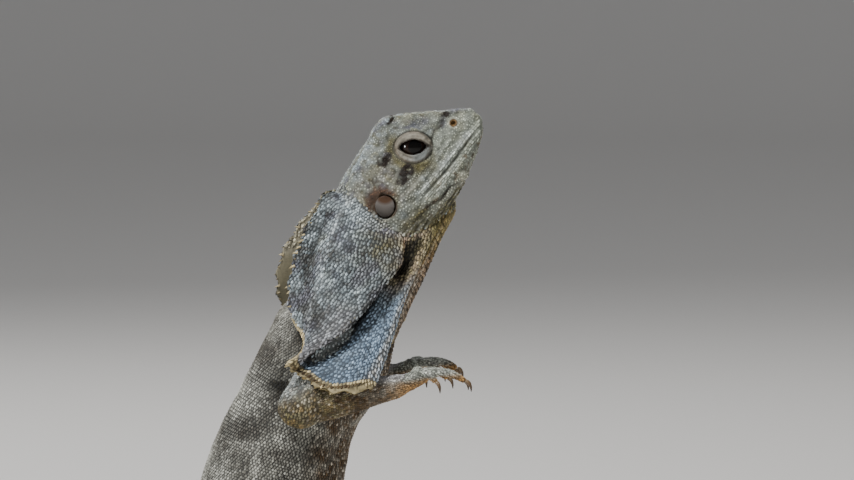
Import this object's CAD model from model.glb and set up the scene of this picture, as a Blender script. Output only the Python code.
"""Scene of the frilled lizard: one skin over the flesh of the solids, with its scales, eyes, ears and claws.

The tables are in millimetres in the animal's own frame, where +X is ahead of it, +Y is its left and
+Z is up. SHIFT carries that frame to the frame of the solids, in metres.
"""
import math

import bmesh
import bpy
import numpy as np
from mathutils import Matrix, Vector, noise
from mathutils.bvhtree import BVHTree
from mathutils.kdtree import KDTree


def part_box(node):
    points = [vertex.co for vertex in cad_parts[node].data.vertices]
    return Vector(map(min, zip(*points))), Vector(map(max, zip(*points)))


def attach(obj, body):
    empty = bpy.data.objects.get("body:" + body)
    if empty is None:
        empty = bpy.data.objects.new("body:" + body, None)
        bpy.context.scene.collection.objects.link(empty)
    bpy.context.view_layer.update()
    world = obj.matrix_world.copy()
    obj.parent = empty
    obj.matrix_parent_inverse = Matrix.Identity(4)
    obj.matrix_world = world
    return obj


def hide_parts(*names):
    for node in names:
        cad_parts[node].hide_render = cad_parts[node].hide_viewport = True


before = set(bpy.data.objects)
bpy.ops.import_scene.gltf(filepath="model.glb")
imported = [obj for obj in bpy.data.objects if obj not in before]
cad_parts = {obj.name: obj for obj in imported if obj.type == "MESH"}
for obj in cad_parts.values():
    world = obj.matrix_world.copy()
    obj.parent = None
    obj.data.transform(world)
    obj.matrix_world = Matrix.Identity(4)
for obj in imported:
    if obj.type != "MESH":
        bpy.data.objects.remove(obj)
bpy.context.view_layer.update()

MM = 0.001
RIGHT, LEFT = -1, 1
SIDE_NAMES = {RIGHT: "right", LEFT: "left"}
ROOT = "root"
FULL_TURN = 2 * math.pi

# The head's frame: its origin is the front of the mouth, and the mouth line runs back from it.
MOUTH_FRONT = np.array((88.1, 0.0, 224.4))
HEAD_PITCH = math.radians(50.3)
HEAD_AHEAD = np.array((math.cos(HEAD_PITCH), 0, math.sin(HEAD_PITCH)))
HEAD_UP = np.array((-math.sin(HEAD_PITCH), 0, math.cos(HEAD_PITCH)))
MOUTH_LENGTH = 29.5

# Eyes, ears and nostrils, as distance back and height in the head's frame, and distance out.
EYE_BACK, EYE_UP, EYE_OUT, EYE_RADIUS = 20.0, 13.4, 8.2, 5.5
EYE_RINGS, EYE_TURNS = 40, 48
GAZE = (0.12, 0.02)
LID_OPENING, LID_OUTER = (5.4, 2.55), (6.3, 5.2)
LID_TILT = math.radians(4)
EAR_BACK, EAR_UP, EAR_OUT, EAR_RADII = 41.4, 8.0, 14.4, (3.6, 4.0)
NOSTRIL_BACK, NOSTRIL_UP = 5.2, 8.0

# Line of the neck, trunk and tail: centre, depth to the back, depth to the belly and half width.
BODY_ROWS = [
    (53.0, 0, 193.9, 16.8, 16.8, 15.6),
    (47.2, 0, 184.6, 15.6, 15.2, 14.2),
    (43.2, 0, 175.6, 15.0, 15.0, 13.6),
    (40.6, 0, 165.6, 16.6, 17.2, 14.6),
    (38.4, 0, 155.4, 20.0, 21.4, 17.4),
    (33.6, 0, 143.5, 21.9, 22.2, 19.6),
    (27.2, 0, 131.2, 22.6, 20.8, 20.4),
    (22.4, 0, 120.0, 23.6, 21.8, 21.2),
    (18.4, 0, 107.1, 24.9, 23.8, 22.6),
    (14.6, 0, 95.2, 23.9, 24.1, 23.0),
    (9.5, 0, 80.6, 22.0, 23.0, 22.0),
    (5.2, 0, 67.0, 18.6, 19.4, 19.6),
    (1.0, 0, 55.0, 16.0, 16.0, 17.4),
    (-6.4, 0, 43.0, 13.8, 13.6, 15.2),
    (-19.0, 0, 29.6, 12.0, 11.6, 12.8),
    (-36.0, 0, 18.6, 10.6, 10.2, 11.0),
    (-56.0, 0.6, 11.4, 9.4, 9.2, 9.6),
    (-78.0, 2.4, 8.0, 8.4, 8.3, 8.5),
    (-112.0, 8.0, 6.8, 7.1, 7.1, 7.3),
    (-150.0, 16.0, 5.8, 6.1, 6.1, 6.2),
    (-190.0, 23.0, 4.9, 5.2, 5.2, 5.3),
    (-232.0, 25.5, 4.1, 4.4, 4.4, 4.5),
    (-274.0, 22.0, 3.35, 3.65, 3.65, 3.75),
    (-315.0, 12.5, 2.65, 2.95, 2.95, 3.0),
    (-354.0, -0.5, 2.05, 2.3, 2.3, 2.35),
    (-390.0, -14.5, 1.45, 1.65, 1.65, 1.7),
    (-422.0, -26.5, 0.85, 0.95, 0.95, 1.0),
]
# The trunk's rows of scales end in this row, the tail's start in this one, and the first rows stand up.
TRUNK_END, TAIL_START, STANDING_ROWS = 15.4, 13.6, 13

# Limb joints on the right; the left mirrors them, with its hand a little behind.
SHOULDER, ELBOW = (40.6, 15.0, 154.4), (26.8, 29.6, 130.6)
WRIST, KNUCKLES = (60.5, 22.0, 137.6), (69.5, 22.0, 141.4)
HIP, KNEE = (8.0, 8.0, 59.5), (42.0, 33.0, 47.0)
ANKLE, BALL_OF_FOOT = (8.5, 37.0, 11.5), (28.0, 37.0, 2.9)
CHIN_CORNER = (79.8, 0.0, 196.6)
HAND_LAG = {RIGHT: 0.0, LEFT: -2.5}

# The folded frill, from its free edge along the nape round to the throat, as the solids have it.
FRILL_ROWS = {
    "nape edge": [(36.0, 7, 202.0), (28.0, 13, 189.0), (23.9, 16.0, 177.0),
                  (22.6, 18.0, 166.4), (24.6, 20.5, 159.0)],
    "nape valley": [(39.0, 9.5, 200.5), (32.5, 13, 187.5), (28.6, 16.5, 176.4),
                    (26.8, 19.8, 165.6), (26.9, 23.0, 155.4)],
    "nape ridge": [(42.0, 12, 198.0), (36.2, 18.4, 185.8), (33.4, 21.0, 175.4),
                   (30.8, 23.6, 164.2), (28.6, 26.5, 152.6)],
    "side panel": [(47.0, 13.5, 193.6), (43.6, 21.0, 182.4), (40.2, 23.6, 171.2),
                   (35.6, 27.2, 159.6), (26.4, 30.2, 148.0)],
    "side ridge": [(59.6, 13.6, 189.0), (60.2, 19.4, 178.8), (53.4, 24.4, 168.6),
                   (41.4, 31.4, 156.0), (22.8, 35.8, 145.9)],
    "side tuck": [(61.6, 13.4, 188.8), (59.6, 16.6, 177.4), (51.6, 20.6, 166.6),
                  (39.6, 28.6, 152.8), (24.6, 32.3, 142.9)],
    "side valley": [(64.0, 13.0, 188.6), (58.4, 13.6, 175.6), (52.6, 19.2, 164.2),
                    (42.2, 27.8, 150.4), (27.6, 33.4, 141.6)],
    "lower panel": [(68.0, 12.2, 189.4), (63.4, 14.8, 175.2), (54.8, 19.6, 162.0),
                    (45.4, 30.2, 148.0), (36.6, 35.8, 137.6)],
    "lower ridge": [(71.6, 10.8, 190.6), (67.2, 13.6, 178.2), (61.2, 17.8, 166.2),
                    (55.6, 24.2, 152.2), (47.0, 32.4, 138.4)],
    "lower valley": [(73.8, 9.2, 192.0), (68.0, 8.8, 179.6), (61.6, 10.8, 168.4),
                     (57.0, 14.8, 157.2), (51.8, 21.0, 146.8)],
    "throat ridge": [(76.4, 7.0, 193.8), (72.4, 8.6, 182.8), (67.6, 9.6, 171.6),
                     (62.6, 10.6, 161.6), (58.6, 13.2, 152.4)],
    "throat valley": [(78.4, 3.8, 195.2), (73.2, 4.2, 185.0), (67.6, 4.6, 173.6),
                      (62.6, 5.0, 163.8), (60.2, 5.8, 156.6)],
    "midline ridge": [(79.8, 0, 196.6), (75.4, 0, 188.4), (70.8, 0, 178.4),
                      (66.6, 0, 168.6), (61.4, 0, 158.0)],
}
LEFT_NAPE_SHIFT = {"nape edge": 1.0, "nape valley": 0.6, "nape ridge": 0.15}
LEFT_NAPE_MOVE = np.array((-4.6, 0, 1.4))
FAN = len(FRILL_ROWS) - 1
RIB_SPANS = 4

# Parts of flesh, and the number that the skin's points carry for each.
HEAD_PARTS = ("head", "lower_jaw")
TRUNK = ("neck", "chest", "abdomen", "pelvis")
TAIL = ("tail_1", "tail_2", "tail_3", "tail_4", "tail_5")
FRILL_PARTS = ("frill_right", "frill_left")
FLESH = [*HEAD_PARTS, *TRUNK, *TAIL]
FLESH += [f"{part}_{side}" for side in ("right", "left")
          for part in ("frill", "upper_arm", "forearm", "hand", "thigh", "shank", "foot")]
LABEL = {name: number for number, name in enumerate(FLESH)}

# The skin: voxel size, how far parts grow to meet, the coat's depth, and rounds of smoothing by part.
VOXEL = 0.45
GROW = 0.22
COAT_DEPTH = 0.22
SMOOTHING = {"neck": 30, "chest": 40, "abdomen": 40, "pelvis": 40, "tail_1": 30, "tail_2": 14, "tail_3": 8,
             "tail_4": 5, "tail_5": 3, "head": 5, "lower_jaw": 5, "frill": 5, "upper_arm": 22, "forearm": 14,
             "hand": 2, "thigh": 30, "shank": 14, "foot": 2}
# Rounds that even out the numbers of rounds, the rounds on a seam between parts, and how far a seam spreads.
EVENING_ROUNDS, SEAM_ROUNDS, SEAM_SPREAD = 6.0, 30, 10.0
# Places with more smoothing: how far it reaches in full, how far it fades out and its rounds.
SOFT_SPOTS = [(CHIN_CORNER, 5, 4, 60), (MOUTH_FRONT, 2.5, 2.5, 25)]
SOFT_JOINTS = [(SHOULDER, 15, 6, 40), (HIP, 16, 6, 40), (ELBOW, 9, 6, 90)]
SKIN_TRIANGLES = 190000
HEAD_SHARE = 0.3

# Heights and depths that the skin is shaped with.
MOUTH_GROOVE, LIP_SWELL = 0.35, 0.22
LID_SWELL, LID_CREASE = 0.45, 0.35
NOSTRIL_SWELL, NOSTRIL_PIT = 0.3, 0.9
BROW_SWELL, CANTHUS_SWELL, EAR_FOLD = 0.35, 0.45, 0.5
TUBERCLE, TUBERCLE_AT = 2.0, (16.6, -6.0)
HEAD_LUMPS, HEAD_GRAINS = 0.28, 0.15
LOOSE_SKIN, JOINT_WRINKLE, ELBOW_SWELL = 0.35, 0.3, 0.6
VALLEY_DEPTH, THROAT_DEPTH, NAPE_DEPTH, RIPPLE = 3.0, 0.8, 0.7, 0.55
# Long soft folds on the side of the head, as height over the mouth line and rise.
CHEEK_FOLDS = [(4.6, 0.4), (7.0, 0.35), (-3.2, 0.32), (-5.4, 0.3)]
# Joints with wrinkled skin, and how far from each it reaches.
WRINKLED_JOINTS = [(WRIST, 6), (KNEE, 12), (ANKLE, 7)]

# The coat. Rows are this share of the spacing apart, and no row's number of scales is further out than this.
ROW_STEP, ROW_JITTER, COUNT_SLACK = 0.87, 0.1, 0.12
DARTS, CLOSEST, OVER_SKIN = 7.0, 0.82, 0.45
FRILL_LENGTH, SHEET_HALF, FRILL_JITTER = 46.0, 0.55, 0.13
SCALE_TONE, FRECKLE = 0.24, 0.5
LID_RINGS, LID_GRAIN = (0.56, 0.64, 0.72, 0.8, 0.88, 0.96), 0.52
MARGIN_STEP, MARGIN_SIZE = 2.3, 1.7
# The frill's bare rim starts this far out, and only on the frill's front part.
BARE_RIM, FRONT_PART = 0.976, 4.2
BACKWARD, FORWARD, DOWNWARD = -HEAD_AHEAD, (1.0, 0, -0.2), (-0.4, 0, -0.9)
# Lines of scales along the lips: height over the mouth line, length of a scale and how far back they run.
LIP_LINES = [(0.9, 1.3, 30), (1.65, 1.2, 31), (-0.8, 1.3, 30), (-1.55, 1.2, 31), (-2.3, 1.2, 31)]
# Spacing of the scales, and each coat's tile of the unwrap: its corner, width and height.
TRUNK_SPACING, TAIL_SPACING, HAND_SPACING = 1.12, 1.15, 0.85
FRILL_SPACING = {1: 1.18, -1: 1.7}
GAP_SPACING, FRILL_GAP_SPACING = 1.05, 1.18
TRUNK_TILE, TAIL_TILE = (0.0, 0.0, 0.3, 0.45), (0.0, 0.46, 0.3, 0.53)
HEAD_TILE, LID_TILE, LIP_TILE = (0.54, 0.0, 0.3, 0.4), (0.86, 0.97, 0.08, 0.02), (0.54, 0.98, 0.3, 0.02)
GAP_TILE, FRILL_GAP_TILE = (0.31, 0.86, 0.2, 0.13), (0.86, 0.7, 0.08, 0.26)
MARGIN_TILES = {RIGHT: (0.95, 0.0, 0.02, 0.3), LEFT: (0.98, 0.0, 0.02, 0.3)}
LIMB_TILES = {RIGHT: (0.31, 0.1), LEFT: (0.42, 0.1)}
PATCH = 0.003
# Lengths of the limbs: the joints at their ends, girth's radii there, spacing, and the shares of the length
# between which the rows run. The last pair is the tile's place along the side's own strip.
LIMB_LENGTHS = [
    ("upper_arm", SHOULDER, ELBOW, (8, 7.5), 1.0, (-0.5, 0.85), (0.0, 0.14)),
    ("forearm", ELBOW, WRIST, (8, 5), 0.95, (0.15, 1.3), (0.15, 0.14)),
    ("thigh", HIP, KNEE, (12, 9), 1.15, (-0.5, 0.85), (0.3, 0.16)),
    ("shank", KNEE, ANKLE, (7, 4.6), 1.05, (0.15, 1.3), (0.47, 0.14)),
]
LIMB_ENDS = [("hand", (0.62, 0.1)), ("foot", (0.73, 0.12))]

# The photo's view, and the studio's lamps: where each stands from the animal, its size and its power.
CAMERA_TARGET = (69.7, 0, 185.4)
CAMERA_DISTANCE, CAMERA_ELEVATION = 2.0, 3.5
SENSOR_WIDTH, PICTURE_WIDTH, METRES_PER_PIXEL = 36, 854, 0.00034
CAMERA_LENS = SENSOR_WIDTH * CAMERA_DISTANCE / (PICTURE_WIDTH * METRES_PER_PIXEL)
WORLD_COLOUR, WORLD_LIGHT = (0.78, 0.8, 0.84, 1), 0.32
FLOOR_COLOUR, FLOOR_ROUGHNESS = (0.74, 0.72, 0.69, 1), 0.9
LAMP_TARGET = (60, 0, 180)
# Then whether it shows in reflections, and whether it lights surfaces or only glints on them.
LAMPS = [
    ("key", (-0.55, -0.75, 1.5), 0.5, 42, True, True),
    ("fill", (0.9, -1.4, 0.35), 1.2, 3, False, True),
    ("back", (-0.5, 1.4, 1.1), 1.0, 12, True, True),
    ("glint", (-1.75, -0.95, 0.12), 0.2, 25, True, False),
]
SWEEP_START, SWEEP_RADIUS, FLOOR_HALF = 5.0, 2.0, 14.0


def paint(red, green, blue):
    """The linear colour that materials take, for a colour from 0 to 255 as a screen shows it."""
    shares = (c / 255 for c in (red, green, blue))
    return (*(((c + 0.055) / 1.055) ** 2.4 if c > 10 / 255 else c / 12.92 for c in shares), 1.0)


PAINTS = {
    "trunk": paint(122, 121, 113),
    "pale": paint(184, 184, 174),
    "shade": paint(66, 62, 55),
    "umber": paint(84, 66, 44),
    "slate": paint(104, 104, 116),
    "moss": paint(108, 102, 68),
    "olive": paint(134, 126, 82),
    "dark": paint(34, 26, 18),
    "deep": paint(34, 32, 25),
    "tan": paint(172, 165, 142),
    "rim": paint(186, 170, 128),
    "rust": paint(80, 58, 42),
    "ochre": paint(166, 126, 74),
    "lilac": paint(150, 148, 150),
    "crown": paint(142, 146, 136),
    "snout": paint(152, 157, 144),
    "pearl": paint(178, 178, 160),
    "mist": paint(176, 188, 192),
    "lips": paint(182, 188, 184),
    "lid": paint(150, 144, 130),
    "frill": paint(124, 134, 138),
    "blue": paint(130, 150, 170),
    "cream": paint(206, 198, 182),
    "bright": paint(208, 216, 218),
}
# Dark marks on the head: place, size and strength, as distance back and height, then dark lines.
HEAD_MARKS = [((28.0, 10.1), (2.7, 1.7), 2.2), ((26.0, 8.8), (1.4, 1.0), 1.5), ((30.9, 9.0), (1.9, 1.2), 1.4),
              ((32.4, 9.8), (1.4, 0.8), 0.7), ((29.8, 17.6), (1.9, 1.4), 1.8),
              ((27.4, 17.4), (1.0, 1.0), 1.1),
              ((31.4, 18.4), (1.1, 0.7), 0.5), ((4.4, 11.9), (1.8, 1.3), 1.9), ((7.4, 11.2), (1.9, 0.9), 1.1),
              ((33.6, -2.8), (2.4, 0.8), 1.3), ((36.4, -2.8), (2.2, 0.9), 1.0), ((1.4, 9.4), (1.6, 0.5), 0.6),
              ((24.5, -5.0), (2.8, 0.5), 0.9), ((21.7, 5.3), (1.8, 0.6), 0.8),
              ((17.9, 25.2), (2.0, 1.0), 1.2)]
HEAD_LINES = [((8.2, 10.4), (11.5, 11.4)), ((11.5, 11.4), (13.7, 10.5)), ((13.7, 10.5), (15.8, 8.6)),
              ((20.1, -6.0), (22.5, -4.8)), ((22.5, -4.8), (27.5, -5.1)), ((27.5, -5.1), (29.9, -3.6)),
              ((29.9, -3.6), (38.1, -2.3))]
# Slate bands over the top of the snout and along the brow, in the same two measures.
SNOUT_BANDS = [((3.6, 11.8), (-1.6, 7.8)), ((12.5, 17.2), (17.0, 19.4)), ((19.3, 26.4), (24.1, 27.0))]
# Paints round the nostril: full up to the first distance from its middle and gone at the second.
NOSTRIL_RINGS = [("pearl", 1.8, 2.2, 0.9), ("rust", 1.25, 1.5, 0.9), ("ochre", 1.0, 1.25, 0.8),
                 ("dark", 0.35, 1.0, 0.95)]
# Pale crests and dark creases of the throat's pleats, as places round the fan and widths.
THROAT_CRESTS, CREST_WIDTH = (8.0, 9.6, 10.65), 0.13
THROAT_CREASES = [(9.0, 0.3), (10.2, 0.2), (11.1, 0.3)]
# Blotches on the body and arms, the same on both sides: place along X and Z, size, paint and strength.
SIDE_MARKS = {
    "trunk": [((45, 196), (10, 8), "mist", 0.65), ((22, 155), (8, 7), "shade", 0.6),
              ((14, 147.5), (7, 4), "shade", 0.6), ((20, 138), (5.5, 4.5), "deep", 1.2),
              ((9.5, 133), (5, 6), "pale", 0.5), ((7.5, 121.5), (9, 3.5), "shade", 0.7),
              ((20, 118), (8, 5), "shade", 0.25), ((3, 114), (8, 7), "shade", 0.4),
              ((-2, 104), (6, 6), "pale", 0.4), ((12, 102), (9, 5), "shade", 0.5)],
    "arm": [((22.0, 127.3), (3.6, 2.6), "olive", 0.9), ((26.0, 135.0), (7.0, 2.0), "mist", 0.8),
            ((33.5, 129.5), (4.5, 3.5), "umber", 0.8), ((45, 132), (8.0, 3.0), "umber", 0.9),
            ((28, 124.5), (9.0, 1.8), "umber", 0.8)],
}
# Noise that the paints follow, as size of a patch and number of the pattern.
PATCHES, SPECKS, FINE, TINY = (9.0, 3), (3.2, 4), (1.4, 5), (0.95, 22)
# The skin between scales, as a share of their own colour.
BETWEEN_SCALES = {"body": 0.22, "arms": 0.4, "frill": 0.3, "head": 0.6, "lids": 0.8, "rim": 0.85,
                  "inside": 0.9}
# The hide's shader: how fine its mottling and its grain are, and the grain's height in metres.
HIDE_VALUES = {"Mottle Scale": 1500.0, "Grain Scale": 4200.0, "Grain Height": 0.00015}
BLACK, IRIS_EDGE, IRIS = (0.002, 0.0015, 0.001, 1), (0.016, 0.008, 0.005, 1), (0.01, 0.005, 0.003, 1)
EYE_STOPS = [(0.0, BLACK), (0.26, BLACK), (0.3, IRIS_EDGE), (0.5, IRIS), (0.56, BLACK)]
EAR_STOPS = [(0.0, paint(46, 34, 26)), (0.36, paint(78, 58, 44)), (0.5, paint(100, 95, 91)),
             (0.75, paint(76, 72, 68)), (1.0, paint(40, 35, 31))]
CLAW_STOPS = [(0.0, paint(150, 132, 104)), (0.5, paint(104, 84, 62)), (1.0, paint(38, 28, 20))]


def design(points):
    """Points of the solids' frame, in metres, as millimetres in the animal's frame."""
    return np.asarray(points, float) / MM - SHIFT


def place(points):
    """Millimetres in the animal's frame as points of the solids' frame, in metres."""
    return (np.asarray(points, float) + SHIFT) * MM


def head_point(back, up, out):
    return MOUTH_FRONT - HEAD_AHEAD * back + HEAD_UP * up + np.array((0, out, 0))


def head_axes(points):
    """Distance back, height and distance out of points in the head's frame."""
    offset = points - MOUTH_FRONT
    return -offset @ HEAD_AHEAD, offset @ HEAD_UP, offset[:, 1]


def from_ear(back, up):
    """Distance from the middle of the ear, which is 1 on the eardrum's rim."""
    return np.hypot((back - EAR_BACK) / EAR_RADII[0], (up - EAR_UP) / EAR_RADII[1])


def from_nostril(back, up):
    return np.hypot(back - NOSTRIL_BACK, up - NOSTRIL_UP)


def mouth_wave(back):
    """The mouth's line isn't quite straight: its height over a straight one."""
    return 0.3 * np.sin(back / 4.2 + 0.5) * smooth(0, 6, back)


def eye_edges(body):
    """Two measures round the eye: 1 on the edge between the lids, and 1 on the outer edge of the lids."""
    eye = head_point(EYE_BACK, EYE_UP, 0)
    x, z = body[:, 0] - eye[0], body[:, 2] - eye[2]
    along = x * math.cos(LID_TILT) + z * math.sin(LID_TILT)
    over = z * math.cos(LID_TILT) - x * math.sin(LID_TILT)
    far = 10.0 * (np.abs(body[:, 1]) < 4)
    return ((along / LID_OPENING[0]) ** 2 + np.abs(over) / LID_OPENING[1] + far,
            np.hypot(along / LID_OUTER[0], over / LID_OUTER[1]) + far)


def on_side(point, side):
    return np.array((point[0], side * point[1], point[2]), float)


def on_parts(labels, names):
    """True for the points that lie on any of these parts."""
    return np.isin(labels, [LABEL[name] for name in names])


def smooth(low, high, value):
    """0 below low, 1 above high and a smooth rise between them."""
    t = np.clip((value - low) / (high - low), 0, 1)
    return t * t * (3 - 2 * t)


def within(value, rise, fall):
    """1 between two smooth steps, and 0 before the rise and after the fall."""
    return smooth(*rise, value) * (1 - smooth(*fall, value))


def fade(value, width):
    """1 at 0, fading out on both sides over this width."""
    return np.exp(-((value / width) ** 2))


def blot(back, up, at, size):
    """1 at a place on the side of the head, fading out over that size."""
    return np.exp(-((back - at[0]) / size[0]) ** 2 - ((up - at[1]) / size[1]) ** 2)


def beside(back, up, a, b):
    """How far places on the side of the head are from the line between two of them."""
    a, b = np.array(a), np.array(b)
    spots = np.stack([back, up], 1) - a
    share = np.clip(spots @ (b - a) / ((b - a) @ (b - a)), 0, 1)
    return np.linalg.norm(spots - share[:, None] * (b - a), axis=1)


def unit(vectors):
    vectors = np.asarray(vectors, float)
    return vectors / np.maximum(np.linalg.norm(vectors, axis=-1, keepdims=True), 1e-9)


def field(points, size, seed=0):
    """Smooth noise from about -1 to 1 at points in millimetres, with patches about that size."""
    move = Vector((seed * 13.7, seed * 5.1, -seed * 9.3))
    return np.array([noise.noise(Vector(p) / size + move) for p in points]) * 1.6


def lengths_along(line):
    """How far each point of a line is from its start, along the line."""
    return np.concatenate([[0], np.cumsum(np.linalg.norm(np.diff(line, axis=0), axis=1))])


def curve(rows, t):
    """The smooth curve through the rows at every t at once; rows may hold points or whole lines."""
    last = len(rows) - 1
    i = np.clip(t.astype(int), 0, last - 1)
    f = (t - i).reshape((-1,) + (1,) * (rows.ndim - 1))
    a, b, c, d = rows[np.maximum(i - 1, 0)], rows[i], rows[i + 1], rows[np.minimum(i + 2, last)]
    return 0.5 * (2 * b + (c - a) * f + (2 * a - 5 * b + 4 * c - d) * f**2 + (3 * b - a - 3 * c + d) * f**3)


eye_low, eye_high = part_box("eye_right")
SHIFT = np.array((eye_low + eye_high) / 2) / MM - head_point(EYE_BACK, EYE_UP, -EYE_OUT)
BODY = np.array(BODY_ROWS)
BODY_SPANS = len(BODY) - 1


def body_line(share):
    """The centre of the body's line at this share of its rows."""
    return curve(BODY[:, :3], np.array([share * BODY_SPANS]))[0]


def body_girth(share):
    """The body's mean radius at this share of its rows."""
    return float(curve(BODY[:, 3:], np.array([share * BODY_SPANS]))[0].mean())


def node_copy(name):
    """A CAD node's mesh in the solids' frame, with its loose triangles joined."""
    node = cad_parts[name]
    bm = bmesh.new()
    bm.from_mesh(node.data)
    bm.transform(node.matrix_world)
    bmesh.ops.remove_doubles(bm, verts=bm.verts, dist=2e-6)
    bmesh.ops.recalc_face_normals(bm, faces=bm.faces)
    return bm


def shade_smooth(mesh, smooth_faces):
    mesh.polygons.foreach_set("use_smooth", [smooth_faces] * len(mesh.polygons))


def object_of(name, data, material=None):
    """A new object of this mesh, lamp or camera, in the scene."""
    made = bpy.data.objects.new(name, data)
    bpy.context.scene.collection.objects.link(made)
    if material:
        data.materials.append(material)
    return made


def object_from(name, points, faces, material=None, flat=False):
    mesh = bpy.data.meshes.new(name)
    mesh.from_pydata([tuple(p) for p in points], [], [tuple(f) for f in faces])
    mesh.update()
    shade_smooth(mesh, not flat)
    return object_of(name, mesh, material)


def apply_modifiers(obj):
    """The object keeps what its modifiers make, as a plain mesh."""
    bpy.context.view_layer.update()
    evaluated = obj.evaluated_get(bpy.context.evaluated_depsgraph_get())
    old = obj.data
    obj.data = bpy.data.meshes.new_from_object(evaluated)
    obj.modifiers.clear()
    bpy.data.meshes.remove(old)


def add_attribute(obj, name, kind, values):
    """Gives each point of the object's mesh its own value of this name and kind."""
    entry = {"FLOAT": "value", "FLOAT_VECTOR": "vector", "FLOAT_COLOR": "color"}[kind]
    layer = obj.data.attributes.new(name, kind, "POINT")
    layer.data.foreach_set(entry, np.asarray(values, float).ravel())


def finish(piece, slot, *nodes):
    """Names the solids that the finished piece stands for and its surface's slot, and ties it to the body."""
    if nodes:
        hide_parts(*nodes)
    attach(piece, ROOT)


def mesh_arrays(mesh):
    """Points and normals of the vertices, and the triangles."""
    points = np.empty(len(mesh.vertices) * 3)
    mesh.vertices.foreach_get("co", points)
    normals = np.empty(len(mesh.vertices) * 3)
    mesh.vertices.foreach_get("normal", normals)
    mesh.calc_loop_triangles()
    faces = np.empty(len(mesh.loop_triangles) * 3, np.int64)
    mesh.loop_triangles.foreach_get("vertices", faces)
    return points.reshape(-1, 3), normals.reshape(-1, 3), faces.reshape(-1, 3)


def edges_of(mesh):
    edges = np.empty(len(mesh.edges) * 2, np.int64)
    mesh.edges.foreach_get("vertices", edges)
    return edges.reshape(-1, 2)


def relax(values, edges, rounds):
    """Each point's row of values moves towards its neighbours' mean, for as many rounds as its own number."""
    count = len(values)
    ends = np.concatenate([edges[:, 0], edges[:, 1]])
    others = np.concatenate([edges[:, 1], edges[:, 0]])
    degree = np.maximum(np.bincount(ends, minlength=count), 1)
    for turn in range(int(rounds.max())):
        share = np.clip(rounds - turn, 0, 1)[:, None] * 0.5
        mean = np.stack([np.bincount(ends, column[others], count) / degree for column in values.T], 1)
        values = values + (mean - values) * share
    return values


def spread(values, edges, rounds):
    """One value for each point, evened out over so many rounds."""
    return relax(values[:, None].astype(float), edges, np.full(len(values), rounds))[:, 0]


def largest_shell(obj):
    """Drops every part of the mesh but the largest connected one."""
    mesh = obj.data
    edges = edges_of(mesh)
    label = np.arange(len(mesh.vertices))
    while True:
        low = np.minimum(label[edges[:, 0]], label[edges[:, 1]])
        new = label.copy()
        np.minimum.at(new, edges[:, 0], low)
        np.minimum.at(new, edges[:, 1], low)
        new = new[new]
        if (new == label).all():
            break
        label = new
    names, counts = np.unique(label, return_counts=True)
    keep = names[counts.argmax()]
    bm = bmesh.new()
    bm.from_mesh(mesh)
    bm.verts.ensure_lookup_table()
    loose = [bm.verts[i] for i in np.nonzero(label != keep)[0]]
    bmesh.ops.delete(bm, geom=loose, context="VERTS")
    bm.to_mesh(mesh)
    bm.free()


def grown_flesh():
    """All flesh as points and faces, with parts grown a little to meet, and which part each face is of."""
    points, faces, owners = [], [], []
    for name in FLESH:
        bm = node_copy(name)
        base = len(points)
        bm.verts.index_update()
        bm.normal_update()
        points += [vert.co + vert.normal * GROW * MM for vert in bm.verts]
        faces += [[base + vert.index for vert in face.verts] for face in bm.faces]
        owners += [LABEL[name]] * len(bm.faces)
        bm.free()
    return points, faces, np.array(owners)


def voxel_skin(points, faces):
    """One closed skin through every part of flesh."""
    made = object_from("skin", points, faces)
    modifier = made.modifiers.new("voxels", "REMESH")
    modifier.mode = "VOXEL"
    modifier.voxel_size = VOXEL * MM
    apply_modifiers(made)
    largest_shell(made)
    return made


def labels_at(points):
    """The number of the flesh part that each point in metres lies on."""
    return np.array([OWNERS[FLESH_TREE.find_nearest(Vector(p))[2]] for p in points])


def smoothing_rounds(body, edges, labels):
    """How many rounds of smoothing each point of the skin gets: more on seams and joints."""
    own = np.array([SMOOTHING[name if name in SMOOTHING else name.rsplit("_", 1)[0]] for name in FLESH])
    rounds = spread(own[labels], edges, EVENING_ROUNDS)
    groups = np.where(labels == LABEL["lower_jaw"], LABEL["head"], labels)
    seam = np.zeros(len(body))
    seam[np.unique(edges[groups[edges[:, 0]] != groups[edges[:, 1]]])] = 1
    rounds = np.maximum(rounds, SEAM_ROUNDS * np.clip(spread(seam, edges, SEAM_SPREAD) * 4, 0, 1))
    spots = [(*spot, True) for spot in SOFT_SPOTS]
    for side in (RIGHT, LEFT):
        off_frill = labels != LABEL["frill_" + SIDE_NAMES[side]]
        spots += [(on_side(joint, side), *reach, off_frill) for joint, *reach in SOFT_JOINTS]
    for spot, reach, fading, most, where in spots:
        away = np.linalg.norm(body - spot, axis=1)
        rounds = np.maximum(rounds, most * (1 - smooth(reach, reach + fading, away)) * where)
    return rounds


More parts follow.
